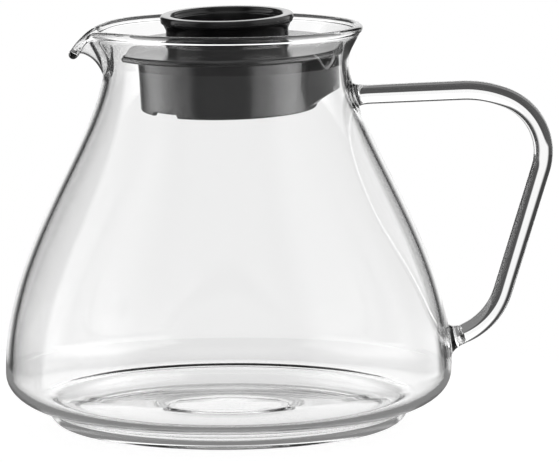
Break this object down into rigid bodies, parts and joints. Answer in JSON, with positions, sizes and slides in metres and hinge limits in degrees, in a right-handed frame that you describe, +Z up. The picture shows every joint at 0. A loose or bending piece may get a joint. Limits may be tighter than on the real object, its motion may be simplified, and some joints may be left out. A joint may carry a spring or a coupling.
{
  "type": "glass coffee jug with lid",
  "caption": "Squat clear glass coffee carafe with a flared neck, drawn spout and bent glass rod handle, closed by a black plastic drop-in lid with an open cup knob.",
  "frame": {"origin": "on the jug's axis, in the plane of the surface it stands on", "axes": "+Z up along the jug's axis, the spout points towards -X and the handle towards +X"},
  "size_m": [0.1964, 0.16, 0.1472],
  "materials": {
    "clear_glass": "clear, fire polished",
    "black_plastic": "black, glossy, moulded"
  },
  "bodies": {
    "root": {"glass_jug": "clear_glass", "lid": "black_plastic"}
  },
  "joints": []
}
